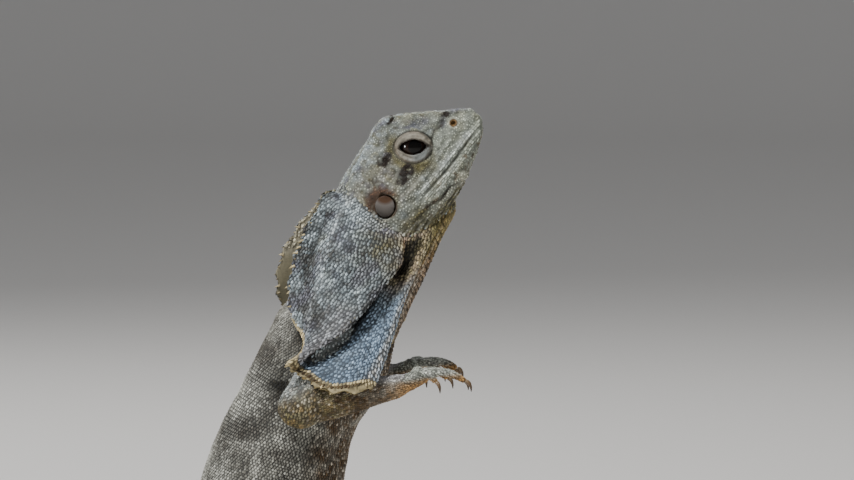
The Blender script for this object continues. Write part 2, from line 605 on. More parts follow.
def sculpted(body, normals, labels):
    """The skin with its mouth line, lips, lids, nostrils and loose folds, as points in millimetres."""
    back, up, out = head_axes(body)
    head = on_parts(labels, HEAD_PARTS)
    inner, outer = eye_edges(body)
    hole = from_nostril(back, up)
    from_mouth = up - mouth_wave(back)
    mouth = within(back, (0, 6), (MOUTH_LENGTH - 2, MOUTH_LENGTH + 2))
    push = mouth * (LIP_SWELL * fade(np.abs(from_mouth) - 1.5, 0.7) - MOUTH_GROOVE * fade(from_mouth, 0.4))
    push += LID_SWELL * (fade(outer - 0.84, 0.1) + 0.6 * fade(inner - 1.1, 0.12))
    push -= LID_CREASE * fade(outer - 1.04, 0.06)
    for level, rise in CHEEK_FOLDS:
        line = level + 0.5 * np.sin(back / 5.0)
        push += rise * fade(up - line, 0.6) * within(back, (6, 12), (30, 36))
    canthus = up - (11.0 + 0.42 * (back - 5))
    push += CANTHUS_SWELL * fade(canthus, 0.8) * within(back, (4, 7), (13, 15.5))
    push += TUBERCLE * blot(back, up, TUBERCLE_AT, (1.3, 1.2)) * (np.abs(out) > 3)
    push += NOSTRIL_SWELL * fade(hole - 1.7, 0.5) - NOSTRIL_PIT * fade(hole, 0.8)
    push += BROW_SWELL * fade(up - 19.5, 1.6) * within(back, (9, 14), (26, 31))
    push += EAR_FOLD * fade(from_ear(back, up) - 1.35, 0.22) * smooth(-4, 4, up - EAR_UP)
    push *= head
    push[head] += HEAD_LUMPS * field(body[head], 2.6, 8) + HEAD_GRAINS * field(body[head], 1.2, 9)
    trunk = on_parts(labels, (*TRUNK, "tail_1"))
    push[trunk] += LOOSE_SKIN * field(body[trunk], 7.0, 1)
    for side in (RIGHT, LEFT):
        for joint, size in WRINKLED_JOINTS:
            away = np.linalg.norm(body - on_side(joint, side), axis=1)
            close = (away < size) & ~head
            near = 1 - smooth(size * 0.5, size, away[close])
            push[close] += JOINT_WRINKLE * field(body[close], 2.6, 2) * near
        away = np.linalg.norm(body - on_side(ELBOW, side), axis=1)
        push += ELBOW_SWELL * (1 - smooth(4, 10, away)) * ~head
    return folded(body, labels) + normals * push[:, None]


def folded(body, labels):
    """The points with those of the frill pressed in along its valleys."""
    body = body.copy()
    for folds in FOLDS.values():
        for i in np.nonzero(labels == folds.label)[0]:
            nearest = folds.flat_tree.find(Vector(body[i]))[1]
            body[i] += folds.press[folds.places[nearest]]
    return body


def valley(u, v):
    """1 in the deep fold between the frill's two big panels, which leads forward up to the throat."""
    middle = 5.25 + 1.75 * (1 - smooth(0.05, 0.45, v))
    width = np.where(u < middle, 1.05, 0.55)
    return fade(u - middle, width) * within(v, (0.0, 0.12), (0.8, 1.0))


def frill_press(u, v):
    """How far the frill is pressed in along its valleys."""
    press = -VALLEY_DEPTH * valley(u, v) * smooth(0.05, 0.3, v)
    press += RIPPLE * np.sin(u * 3.4 + 0.6) * smooth(0.72, 1.0, v) * smooth(3.0, 4.5, u)
    press -= NAPE_DEPTH * fade(u - 1.2, 0.4) * within(v, (0.02, 0.15), (0.55, 0.8))
    press -= THROAT_DEPTH * (fade(u - 9.0, 0.35) + fade(u - 11.0, 0.35)) * smooth(0, 0.2, v)
    return press


def thinned(skin, labels, most):
    """Halves the skin again and again down to so many triangles, and keeps the head finest."""
    group = skin.vertex_groups.new(name="plain")
    fine = np.isin(labels, [LABEL["head"], LABEL["lower_jaw"]])
    group.add([int(i) for i in np.nonzero(~fine)[0]], 1.0, "REPLACE")
    group.add([int(i) for i in np.nonzero(fine)[0]], HEAD_SHARE, "REPLACE")
    modifier = skin.modifiers.new("fewer", "DECIMATE")
    modifier.ratio = most / sum(len(face.vertices) - 2 for face in skin.data.polygons)
    modifier.vertex_group = group.name
    modifier.vertex_group_factor = 1.0
    apply_modifiers(skin)
    skin.vertex_groups.clear()


def shape_skin(made):
    """Smooths the voxel skin over the joins of its parts, shapes it and thins it."""
    points = mesh_arrays(made.data)[0]
    labels = labels_at(points)
    edges = edges_of(made.data)
    points = relax(points, edges, smoothing_rounds(design(points), edges, labels))
    made.data.vertices.foreach_set("co", points.ravel())
    made.data.update()
    points, normals, _ = mesh_arrays(made.data)
    body = sculpted(design(points), normals, labels) - normals * (GROW + COAT_DEPTH)
    made.data.vertices.foreach_set("co", place(body).ravel())
    made.data.update()
    thinned(made, labels, SKIN_TRIANGLES)
    shade_smooth(made.data, True)


class Surface:
    """The finished skin, to find points on, with smooth normals and the part that each point is on."""

    def __init__(self, mesh):
        self.points, self.normals, self.faces = mesh_arrays(mesh)
        self.tree = BVHTree.FromPolygons([Vector(p) for p in self.points], self.faces.tolist())
        self.labels = labels_at(self.points)

    def on(self, hits, indices):
        """Smooth normals and labels at hits on these triangles."""
        corners = self.faces[indices]
        away = np.linalg.norm(self.points[corners] - hits[:, None], axis=2) + 1e-6
        normals = unit((self.normals[corners] / away[:, :, None]).sum(1))
        return normals, self.labels[corners[np.arange(len(corners)), away.argmin(1)]]

    def cast(self, origins, directions):
        """Where rays from inside first leave the skin: hits, normals, labels and the rays that hit."""
        found = [self.tree.ray_cast(Vector(origin), Vector(way)) for origin, way in zip(origins, directions)]
        rays = np.array([i for i, hit in enumerate(found) if hit[0] is not None], int)
        hits = np.array([found[i][0] for i in rays]).reshape(-1, 3)
        return hits, *self.on(hits, np.array([found[i][2] for i in rays], int)), rays

    def nearest(self, points):
        found = [self.tree.find_nearest(Vector(point)) for point in points]
        hits = np.array([hit[0] for hit in found])
        return hits, *self.on(hits, np.array([hit[2] for hit in found], int))


class Rows:
    """Scales to be: where they sit, their normals, headings, labels, roots on the unwrap and sizes.

    sheet holds the place of each on the frill, as sheet_at gives it.
    """

    FIELDS = ("hits", "normals", "headings", "labels", "roots", "size", "sheet")

    def __init__(self, hits, normals, headings, labels, roots, size, sheet=None):
        self.hits, self.normals, self.headings = hits, normals, headings
        self.labels, self.roots = labels, roots
        self.size = np.broadcast_to(np.asarray(size, float), (len(hits),))
        self.sheet = np.zeros((len(hits), 3)) if sheet is None else sheet

    def chosen(self, keep):
        return Rows(*(getattr(self, name)[keep] for name in self.FIELDS))


def together(parts):
    return Rows(*(np.concatenate([getattr(part, name) for part in parts]) for name in Rows.FIELDS))


def in_tile(roots, tile):
    """Shares of a length and girth as a place in its own tile of the unwrap."""
    x, y, wide, high = tile
    return np.stack([x + roots[:, 0] * wide, y + roots[:, 1] * high], 1)


def cast_rows(origins, directions, headings, roots, sizes, keep, tile):
    """Scales where rays from inside leave the skin on the parts in keep, and the ray of each."""
    hits, normals, labels, rays = surface.cast(place(origins), directions)
    good = on_parts(labels, keep)
    rays = rays[good]
    roots = in_tile(roots[rays], tile)
    return Rows(hits[good], normals[good], headings[rays], labels[good], roots, sizes[rays]), rays


def tube_rows(path, radius, spacing, keep, tile, first=0.0, last=1.0):
    """Staggered rows of scales round a length of the body, on the parts in keep.

    path(s) gives the centre and radius(s) the girth's mean radius at share s.
    """
    shares = np.linspace(first, last, 400)
    lengths = lengths_along(np.array([path(s) for s in shares]))
    random = np.random.default_rng(int(spacing * 1000) + int(1000 * first))
    rays = []
    count, row, where = 0, 0, spacing * 0.5
    while where < lengths[-1]:
        share = np.interp(where, lengths, shares)
        centre = path(share)
        along = unit(path(min(share + 0.004, last)) - path(max(share - 0.004, first)))
        left = unit(np.array((0, 1, 0)) - along * along[1])
        over = np.cross(left, along)
        wanted = FULL_TURN * radius(share) / spacing
        if count == 0 or abs(wanted / count - 1) > COUNT_SLACK:
            count = max(6, int(round(wanted)))
        turns = (np.arange(count) + 0.5 * (row % 2) + random.normal(0, ROW_JITTER, count)) * FULL_TURN / count
        ways = over * np.cos(turns)[:, None] + left * np.sin(turns)[:, None]
        roots = np.stack([turns / FULL_TURN % 1, np.full(count, where / lengths[-1])], 1)
        rays.append((np.tile(centre, (count, 1)), ways, np.tile(along, (count, 1)), roots))
        where += spacing * ROW_STEP
        row += 1
    origins, directions, headings, roots = map(np.concatenate, zip(*rays))
    made, hit = cast_rows(origins, directions, headings, roots, np.full(len(origins), spacing), keep, tile)
    return made.chosen((made.normals * directions[hit]).sum(1) > 0.5)


def limb_rows(kind, side, start, end, radii, spacing, shares, tile):
    """Rows along a length of a limb, from joint to joint."""
    start, end = on_side(start, side), on_side(end, side)
    if kind == "forearm":
        end = end + (HAND_LAG[side], 0, 0)
    return tube_rows(lambda share: start + (end - start) * share,
                     lambda share: radii[0] + (radii[1] - radii[0]) * share,
                     spacing, [f"{kind}_{SIDE_NAMES[side]}"], tile, *shares)


def in_cells(spots, sizes, cell):
    """The cell of a grid that each spot is in, the spot and its size."""
    keys = map(tuple, np.floor(spots / cell).astype(int).tolist())
    return zip(keys, spots.tolist(), sizes.tolist())


def has_room(taken, key, spot, size):
    """True if nothing that the cells round this one hold stands too close."""
    for x in (key[0] - 1, key[0], key[0] + 1):
        for y in (key[1] - 1, key[1], key[1] + 1):
            for z in (key[2] - 1, key[2], key[2] + 1):
                for other, other_size in taken.get((x, y, z), ()):
                    away = (spot[0] - other[0]) ** 2 + (spot[1] - other[1]) ** 2 + (spot[2] - other[2]) ** 2
                    if away <= (0.5 * (size + other_size) * CLOSEST) ** 2:
                        return False
    return True


def strewn(keep, size_of, heading, seed, tile, bare=None, clear_of=None):
    """Scales spread evenly but in no rows over the skin of these parts, each size_of its place apart.

    They leave the places that bare says, and keep clear of the scales in clear_of, so they can fill gaps.
    """
    random = np.random.default_rng(seed)
    chosen = np.nonzero(on_parts(surface.labels[surface.faces[:, 0]], keep))[0]
    corners = surface.points[surface.faces[chosen]]
    areas = np.linalg.norm(np.cross(corners[:, 1] - corners[:, 0], corners[:, 2] - corners[:, 0]), axis=1) / 2
    middle = design(corners.mean(1))
    sizes = size_of(middle)
    wanted = areas / (sizes * MM) ** 2 * DARTS
    if bare is not None:
        wanted = wanted * ~bare(middle)
    total = int(wanted.sum())
    picks = random.choice(len(chosen), total, p=wanted / wanted.sum())
    a, b = random.random((2, total, 1))
    over = a + b > 1
    a, b = np.where(over, 1 - a, a), np.where(over, 1 - b, b)
    hits = corners[picks, 0] * (1 - a - b) + corners[picks, 1] * a + corners[picks, 2] * b
    normals, labels = surface.on(hits, chosen[picks])
    sizes = sizes[picks]
    spots = hits + normals * (sizes * MM)[:, None] * OVER_SKIN
    cell = sizes.max() * MM
    taken = {}
    if clear_of is not None:
        cell = max(sizes.max(), clear_of.size.max()) * MM
        standing = clear_of.hits + clear_of.normals * (clear_of.size * MM)[:, None] * OVER_SKIN
        for key, spot, size in in_cells(standing, clear_of.size * MM, cell):
            taken.setdefault(key, []).append((spot, size))
    good = []
    for i, (key, spot, size) in enumerate(in_cells(spots, sizes * MM, cell)):
        if has_room(taken, key, spot, size):
            taken.setdefault(key, []).append((spot, size))
            good.append(i)
    body = design(hits[good])
    low, high = body.min(0), body.max(0)
    turn = np.arctan2(body[:, 1], body[:, 2] - (low[2] + high[2]) / 2) / FULL_TURN + 0.5
    roots = np.stack([turn, (body[:, 0] - low[0]) / (high[0] - low[0])], 1)
    headings = np.tile(heading, (len(good), 1))
    return Rows(hits[good], normals[good], headings, labels[good], in_tile(roots, tile), sizes[good])


def even(size):
    """The same size of scale everywhere, for strewn."""
    return lambda body: np.full(len(body), size)


def head_spacing(body):
    """Scales are largest on the snout and behind the jaw, and finest round the eye and ear."""
    back, up, out = head_axes(body)
    side = 0.6 + 0.28 * smooth(1.0, 2.2, eye_edges(body)[1]) + 0.14 * smooth(20, 32, back)
    return np.where(np.abs(out) > 4, side, 0.95)


def bare_head(body):
    """True where the skin of the head is bare: the lids' edge, the ear, the nostril and along the lips."""
    back, up, out = head_axes(body)
    bare = eye_edges(body)[1] < 1.1
    bare |= (np.abs(out) > 4) & (from_ear(back, up) < 1.25)
    bare |= from_nostril(back, up) < 1.9
    lips = (up < LIP_LINES[1][0] + 0.4) & (up > LIP_LINES[-1][0] - 0.4)
    return bare | (lips & (back < 30) & (np.abs(out) > 1.5))


class Folds:
    """The frill's sheet on one side: u runs round the fan from 0 to FAN and v out from the root to 1."""

    def __init__(self, side):
        self.label = LABEL["frill_" + SIDE_NAMES[side]]
        ribs = []
        for name, rib in FRILL_ROWS.items():
            points = np.array([on_side(point, side) for point in rib])
            if side == LEFT:
                shares = np.minimum(np.arange(len(rib)) / 2, 1)[:, None]
                points = points + LEFT_NAPE_MOVE * LEFT_NAPE_SHIFT.get(name, 0) * shares
            ribs.append(points)
        self.us, self.vs = np.linspace(0, FAN, 241), np.linspace(0, 1, 81)
        lines = curve(np.array(ribs).transpose(1, 0, 2), self.vs * RIB_SPANS)
        flat = curve(lines.transpose(1, 0, 2), self.us)
        self.out = unit(np.gradient(flat, axis=1))
        self.normal = unit(np.cross(unit(np.gradient(flat, axis=0)), self.out)) * side
        u, v = np.meshgrid(self.us, self.vs, indexing="ij")
        self.press = self.normal * frill_press(u, v)[..., None]
        self.points = flat + self.press
        self.places = [(i, k) for i in range(0, len(self.us), 2) for k in range(0, len(self.vs), 2)]
        self.flat_tree, self.tree = self.tree_of(flat), self.tree_of(self.points)

    def tree_of(self, grid):
        tree = KDTree(len(self.places))
        for number, (i, k) in enumerate(self.places):
            tree.insert(Vector(grid[i, k]), number)
        tree.balance()
        return tree

    def at(self, u, v):
        """Points of the sheet, their headings out to the margin and their outward normals."""
        x = np.clip(u / FAN * (len(self.us) - 1), 0, len(self.us) - 1.001)
        y = np.clip(v * (len(self.vs) - 1), 0, len(self.vs) - 1.001)
        i, k = x.astype(int), y.astype(int)
        x, y = (x - i)[:, None], (y - k)[:, None]
        points, outs, normals = ((g[i, k] * (1 - x) + g[i + 1, k] * x) * (1 - y)
                                 + (g[i, k + 1] * (1 - x) + g[i + 1, k + 1] * x) * y
                                 for g in (self.points, self.out, self.normal))
        return points, unit(outs), unit(normals)


def sheet_at(body, normals, labels):
    """u, v and the face, 1 outside and -1 inside, of each point that lies on the frill."""
    sheet = np.zeros((len(body), 3))
    for folds in FOLDS.values():
        for i in np.nonzero(labels == folds.label)[0]:
            a, b = folds.places[folds.tree.find(Vector(body[i]))[1]]
            face = 1 if normals[i] @ folds.normal[a, b] > 0 else -1
            sheet[i] = (folds.us[a], folds.vs[b], face)
    return sheet


def bare_frill(u, v, face):
    """True on the smooth rim of the frill's front half, and on the inside of its nape."""
    return np.where(np.asarray(face) > 0, (v > BARE_RIM) & (u > FRONT_PART), (v > 0.4) & (u < 5.5))


def frill_rows(side, face, spacing, tile):
    """Staggered rows of scales on one face of the frill, all pointing out to its margin."""
    folds = FOLDS[side]
    random = np.random.default_rng(17)
    fan = np.linspace(0, FAN, 300)
    rows = int(FRILL_LENGTH / (spacing * ROW_STEP))
    us, vs = [], []
    for row in range(rows + 1):
        v = min((row + 0.5) / rows, 0.985)
        lengths = lengths_along(folds.at(fan, np.full(len(fan), v))[0])
        count = int(lengths[-1] / spacing)
        where = (np.arange(count) + 0.25 + 0.5 * (row % 2) + random.normal(0, FRILL_JITTER, count)) / count
        us.append(np.interp(where * lengths[-1], lengths, fan))
        vs.append(np.clip(v + random.normal(0, FRILL_JITTER, count) / rows, 0, 0.99))
    u, v = np.concatenate(us), np.concatenate(vs)
    middles, outs, normals = folds.at(u, v)
    places = middles + normals * face * SHEET_HALF
    hits, found, labels = surface.nearest(place(places))
    good = ((found * normals).sum(1) * face > 0.0) & (labels == folds.label)
    good &= np.linalg.norm(design(hits) - places, axis=1) < 2.0
    good &= ~bare_frill(u, v, face)
    outs = unit(outs + random.normal(0, 0.12, outs.shape))
    roots = in_tile(np.stack([u / FAN, v], 1), tile)
    sheet = np.stack([u, v, np.full(len(u), face)], 1)
    return Rows(hits, found, outs, labels, roots, spacing, sheet).chosen(good)


def frill_margin(side, tile):
    """Pale pointed scales that stand out in a row along the frill's free edge."""
    folds = FOLDS[side]
    random = np.random.default_rng(23)
    u = np.concatenate([np.zeros(80), np.linspace(0, FAN, 320)])
    v = np.concatenate([np.linspace(0.1, 1, 80), np.ones(320)])
    lengths = lengths_along(folds.at(u, v)[0])
    where = np.arange(0.6, lengths[-1], MARGIN_STEP)
    u, v = np.interp(where, lengths, u), np.interp(where, lengths, v)
    middles, outs, normals = folds.at(u, v)
    nape = u < 0.05
    inward = folds.at(u + 0.5, v)[0]
    outs[nape] = unit(unit(middles - inward)[nape] + 0.5 * outs[nape])
    places = middles - outs * 0.5 + random.normal(0, 0.12, middles.shape)
    hits = surface.nearest(place(places))[0]
    sizes = MARGIN_SIZE * random.uniform(0.6, 1.3, len(hits)) * np.where(u < 3.4, 1.0, 0.3)
    headings = unit(outs + random.normal(0, 0.15, outs.shape))
    roots = in_tile(np.stack([u / FAN, v], 1), tile)
    sheet = np.stack([u, np.ones(len(u)), np.ones(len(u))], 1)
    return Rows(hits, normals, headings, np.full(len(hits), folds.label), roots, sizes, sheet)


def lip_rows(tile):
    """Long narrow scales in lines along the lips and the side of the jaw."""
    random = np.random.default_rng(29)
    rays = []
    for row, (level, size, last) in enumerate(LIP_LINES):
        for side in (RIGHT, LEFT):
            for back in np.arange(-1.0 + 0.4 * (row % 2), last, size * 1.12):
                origin = head_point(back, level + mouth_wave(back) + random.normal(0, 0.06), 0)
                root = (0.5 + 0.4 * side * (back + 2) / 40, (row + 0.5) / len(LIP_LINES))
                rays.append((origin, (0.0, side, 0.0), BACKWARD, root, size))
    return cast_rows(*map(np.array, zip(*rays)), HEAD_PARTS, tile)[0]


def lid_rows(tile):
    """Fine grains in rings round each eye, on its lids."""
    random = np.random.default_rng(31)
    eye = head_point(EYE_BACK, EYE_UP, 0)
    rays = []
    for number, ring in enumerate(LID_RINGS):
        along, over = LID_OUTER[0] * ring, LID_OUTER[1] * ring
        count = int(FULL_TURN * math.sqrt((along**2 + over**2) / 2) / LID_GRAIN)
        for side in (RIGHT, LEFT):
            for k in range(count):
                turn = FULL_TURN * (k + 0.5 * (number % 2) + random.normal(0, 0.1)) / count
                x, z = along * math.cos(turn), over * math.sin(turn)
                lean = np.array((x * math.cos(LID_TILT) - z * math.sin(LID_TILT), 0,
                                 x * math.sin(LID_TILT) + z * math.cos(LID_TILT)))
                root = (turn / FULL_TURN * 0.5 + (0.5 if side > 0 else 0), ring)
                rays.append((eye + lean + (0, side * 4.5, 0), (0.0, side, 0.0), unit(lean), root, LID_GRAIN))
    made = cast_rows(*map(np.array, zip(*rays)), ["head"], tile)[0]
    return made.chosen(eye_edges(design(made.hits))[0] > 1.12)


def plate(kind):
    """One scale as points and faces, pointing along +X and raised along +Z, for a spacing of 1."""
    if kind == "keeled":
        rim = [(0.66, 0, 0.07), (0.24, 0.47, 0.02), (-0.34, 0.4, -0.1),
               (-0.52, 0, -0.12), (-0.34, -0.4, -0.1), (0.24, -0.47, 0.02)]
        top = [(0.34, 0, 0.3), (-0.3, 0, 0.12)]
        faces = [(0, 1, 6), (1, 2, 7, 6), (2, 3, 7), (3, 4, 7), (4, 5, 6, 7), (5, 0, 6)]
    elif kind == "grain":
        rim = [(0.46 * math.cos(k * math.pi / 3), 0.46 * math.sin(k * math.pi / 3), -0.12) for k in range(6)]
        top = [(0.05, 0, 0.26)]
        faces = [(k, (k + 1) % 6, 6) for k in range(6)]
    elif kind == "point":
        rim = [(-0.4, 0.0, -0.4), (-0.4, -0.4, 0.0), (-0.4, 0.0, 0.4), (-0.4, 0.4, 0.0)]
        top = [(0.9, 0, 0.0)]
        faces = [((k + 1) % 4, k, 4) for k in range(4)]
    else:
        corners = [(1, 1), (-1, 1), (-1, -1), (1, -1)]
        rim = [(0.52 * x, 0.46 * y, -0.12) for x, y in corners]
        top = [(0.4 * x, 0.3 * y, 0.19 + 0.03 * x) for x, y in corners]
        faces = [(k, (k + 1) % 4, 4 + (k + 1) % 4, 4 + k) for k in range(4)] + [(4, 5, 6, 7)]
    return rim + top, faces


def node(tree, kind, inputs=(), **settings):
    """A new node, with these values of its inputs and these settings."""
    made = tree.nodes.new(kind)
    for name, value in settings.items():
        setattr(made, name, value)
    for name, value in dict(inputs).items():
        made.inputs[name].default_value = value
    return made


def add_sockets(tree, way, **kinds):
    """Sockets of a node group, on its way in or out, each with its kind of value."""
    for name, kind in kinds.items():
        tree.interface.new_socket(name.replace("_", " "), in_out=way, socket_type="NodeSocket" + kind)


def link_all(tree, links):
    """Joins nodes, each link as a node and its output, then a node and its input."""
    for start, output, end, entry in links:
        tree.links.new(start.outputs[output], end.inputs[entry])


def plate_tree():
    """A tree that sets one plate on each point, turned and sized by the point's own attributes."""
    tree = bpy.data.node_groups.new("plates on points", "GeometryNodeTree")
    add_sockets(tree, "INPUT", Points="Geometry", Plate="Object", Length="Float", Width="Float",
                Height="Float", Material="Material")
    add_sockets(tree, "OUTPUT", Plates="Geometry")
    given, out = node(tree, "NodeGroupInput"), node(tree, "NodeGroupOutput")
    shape = node(tree, "GeometryNodeObjectInfo", transform_space="ORIGINAL")
    turn = node(tree, "GeometryNodeInputNamedAttribute", data_type="FLOAT_VECTOR")
    size = node(tree, "GeometryNodeInputNamedAttribute", data_type="FLOAT_VECTOR")
    turn.inputs["Name"].default_value = "turn"
    size.inputs["Name"].default_value = "size"
    proportions = node(tree, "ShaderNodeCombineXYZ")
    scale = node(tree, "ShaderNodeVectorMath", operation="MULTIPLY")
    rotation = node(tree, "FunctionNodeEulerToRotation")
    copies = node(tree, "GeometryNodeInstanceOnPoints")
    real = node(tree, "GeometryNodeRealizeInstances")
    surfaced = node(tree, "GeometryNodeSetMaterial")
    link_all(tree, [
        (given, "Plate", shape, "Object"),
        (given, "Points", copies, "Points"),
        (shape, "Geometry", copies, "Instance"),
        (turn, "Attribute", rotation, "Euler"),
        (rotation, "Rotation", copies, "Rotation"),
        (given, "Length", proportions, "X"),
        (given, "Width", proportions, "Y"),
        (given, "Height", proportions, "Z"),
        (size, "Attribute", scale, 0),
        (proportions, "Vector", scale, 1),
        (scale, "Vector", copies, "Scale"),
        (copies, "Instances", real, "Geometry"),
        (real, "Geometry", surfaced, "Geometry"),
        (given, "Material", surfaced, "Material"),
        (surfaced, "Geometry", out, "Plates"),
    ])
    return tree


def euler_of(headings, normals):
    """Turns, as XYZ angles, that carry +X to the heading and +Z to the normal."""
    headings = unit(headings - normals * (headings * normals).sum(1)[:, None])
    across = np.cross(normals, headings)
    lean = -np.arcsin(np.clip(headings[:, 2], -1, 1))
    roll = np.arctan2(across[:, 2], normals[:, 2])
    swing = np.arctan2(headings[:, 1], headings[:, 0])
    return np.stack([roll, lean, swing], 1)


def make_plates(name, kind, rows, shape, slot="skin", wear=1.0):
    """One mesh of plates on these rows. shape is their length, width and height for a spacing of 1.

    wear is how much paler they are on top than at their rims.
    """
    points, faces = plate(kind)
    pattern = object_from(name + " pattern", points, faces, flat=True)
    cloud = object_from(name, rows.hits, [])
    count, each = len(rows.hits), len(points)
    random = np.random.default_rng(count)
    add_attribute(cloud, "turn", "FLOAT_VECTOR", euler_of(rows.headings, rows.normals))
    sizes = rows.size[:, None] * MM * random.uniform(0.88, 1.12, (count, 3))
    add_attribute(cloud, "size", "FLOAT_VECTOR", sizes)
    modifier = cloud.modifiers.new("plates", "NODES")
    modifier.node_group = TREE
    sockets = {item.name: item.identifier for item in TREE.interface.items_tree if item.in_out == "INPUT"}
    modifier[sockets["Plate"]] = pattern
    modifier[sockets["Material"]] = COAT
    for measure, value in zip(("Length", "Width", "Height"), shape):
        modifier[sockets[measure]] = value
    apply_modifiers(cloud)
    mesh = cloud.data
    if len(mesh.vertices) != count * each:
        raise ValueError(f"{name}: {len(mesh.vertices)} points for {count} plates of {each}")
    shade_smooth(mesh, False)
    colour = plate_colours(rows, random)
    add_attribute(cloud, "base", "FLOAT_COLOR", np.repeat(colour, each, 0))
    relief = np.array([p[2] for p in points])
    relief = 0.6 + wear * ((relief - relief.min()) / (relief.max() - relief.min()) - 0.6)
    add_attribute(cloud, "relief", "FLOAT", np.tile(relief, count))
    corners = np.empty(len(mesh.loops), np.int64)
    mesh.loops.foreach_get("vertex_index", corners)
    flat = np.array([(p[0], p[1]) for p in points]) * PATCH / 2
    uv = rows.roots[corners // each] + flat[corners % each]
    mesh.uv_layers.new(name="OFBake").data.foreach_set("uv", uv.astype(np.float32).ravel())
    bpy.data.objects.remove(pattern)
    finish(cloud, slot)


def plate_colours(rows, random):
    """One colour for each scale: the hide's, with some scales darker, some paler and all a little uneven."""
    colour = hide_colour(design(rows.hits), rows.labels, rows.sheet, True)
    pick = random.random(len(colour))
    freckled = np.where(on_parts(rows.labels, HEAD_PARTS), 0.35, 0.8)
    colour = mixed(colour, "shade", (pick < 0.16) * 0.5 * freckled)
    colour[:, :3] *= 1 + FRECKLE * freckled[:, None] * (pick > 0.84)[:, None]
    colour[:, :3] *= np.clip(1 + SCALE_TONE * random.normal(0, 1, len(colour)), 0.5, 1.6)[:, None]
    return colour


def mixed(colour, name, share):
    """The colours moved towards a named paint by each point's own share."""
    share = np.clip(share, 0, 1)[:, None]
    return colour * (1 - share) + np.array(PAINTS[name]) * share


class Hide:
    """The colours of the hide at points in millimetres, as they are painted, and the noise they follow."""

    def __init__(self, body, labels, sheet):
        self.body, self.labels = body, labels
        self.x, self.z = body[:, 0], body[:, 2]
        self.patches, self.specks = field(body, *PATCHES), field(body, *SPECKS)
        self.fine, self.tiny = field(body, *FINE), field(body, *TINY)
        self.back, self.up, self.out = head_axes(body)
        self.u, self.v, self.face = sheet.T
        self.colour = np.tile(np.array(PAINTS["trunk"]), (len(body), 1))

    def zone(self, *names):
        return on_parts(self.labels, names)

    def brush(self, zone):
        """A function that lays a named paint over the zone, by each point's own share."""
        def lay(name, share):
            self.colour = mixed(self.colour, name, zone * share)
        return lay


def paint_body(hide, rest, arms):
    """Trunk, legs and tail: dark grey with pale blotches, browner low down and on the belly."""
    everywhere, lay = hide.brush(rest | arms), hide.brush(rest)
    everywhere("pale", smooth(0.05, 0.75, hide.patches) * 0.75)
    everywhere("shade", smooth(0.1, 0.8, -hide.patches) * 0.6)
    everywhere("shade", smooth(0.25, 0.9, hide.specks) * 0.5)
    lay("pale", smooth(0.1, 0.6, hide.tiny) * 0.35)
    spine = BODY[:STANDING_ROWS][::-1]
    belly = smooth(6, 16, hide.x - np.interp(hide.z, spine[:, 2], spine[:, 0])) * smooth(55, 75, hide.z)
    lay("umber", belly * (0.75 + 0.35 * hide.specks))
    lay("cream", belly * smooth(0.2, 0.7, hide.tiny) * 0.45)
    for part, brush in (("trunk", lay), ("arm", hide.brush(arms))):
        for spot, size, name, share in SIDE_MARKS[part]:
            brush(name, blot(hide.x, hide.z, spot, size) * (1 + 0.5 * hide.specks) * share)
    banded = hide.brush(hide.zone(*TAIL[1:]))
    banded("shade", smooth(0.1, 0.7, np.sin(hide.x / 7.5)) * 0.55)


def paint_limbs(hide, side):
    """Olive and ochre at the elbow, lilac grey above and ochre below the wrist, fingers and toes."""
    word = SIDE_NAMES[side]
    elbow = np.linalg.norm(hide.body - on_side(ELBOW, side), axis=1)
    mottle = field(hide.body, 2.4, 14 + side)
    near = 1 - smooth(24, 38, elbow)
    arm = hide.brush(hide.zone("upper_arm_" + word, "forearm_" + word))
    arm("moss", (1 - smooth(10, 28, elbow)) * 0.8)
    arm("ochre", smooth(0.2, 0.7, -mottle) * (1 - smooth(6, 18, elbow)) * 0.3)
    arm("umber", smooth(-0.4, 0.25, mottle) * near * (0.55 + 0.4 * smooth(6, 14, elbow)))
    arm("deep", smooth(0.25, 0.6, mottle) * smooth(8, 16, elbow) * near * 0.7)
    arm("mist", smooth(2, 8, hide.z - 130 - 0.5 * (hide.x - 24)) * 0.5)
    arm("cream", smooth(0.2, 0.6, hide.tiny) * 0.25)
    lift = hide.z - (134.2 + (hide.x - 34) * 0.16)
    late = smooth(34, 48, hide.x)
    fore = hide.brush(hide.zone("forearm_" + word, "hand_" + word))
    fore("lilac", late * smooth(0, 3.0, lift) * 0.7)
    fore("umber", late * (1 - smooth(-1.5, 2.0, lift)) * 0.4)
    fore("ochre", smooth(54, 64, hide.x) * (1 - smooth(-1.5, 1.6, lift)) * 0.75)
    hand = hide.brush(hide.zone("hand_" + word))
    above = smooth(-1, 3, lift)
    hand("snout", above * 0.75)
    hand("pale", above * smooth(-0.1, 0.5, hide.specks) * 0.5)
    hand("ochre", smooth(66, 70, hide.x) * (1 - smooth(139.2, 141.4, hide.z)) * 0.9)
    foot = hide.brush(hide.zone("foot_" + word))
    foot("ochre", (1 - smooth(0.8, 2.6, hide.z)) * 0.6)


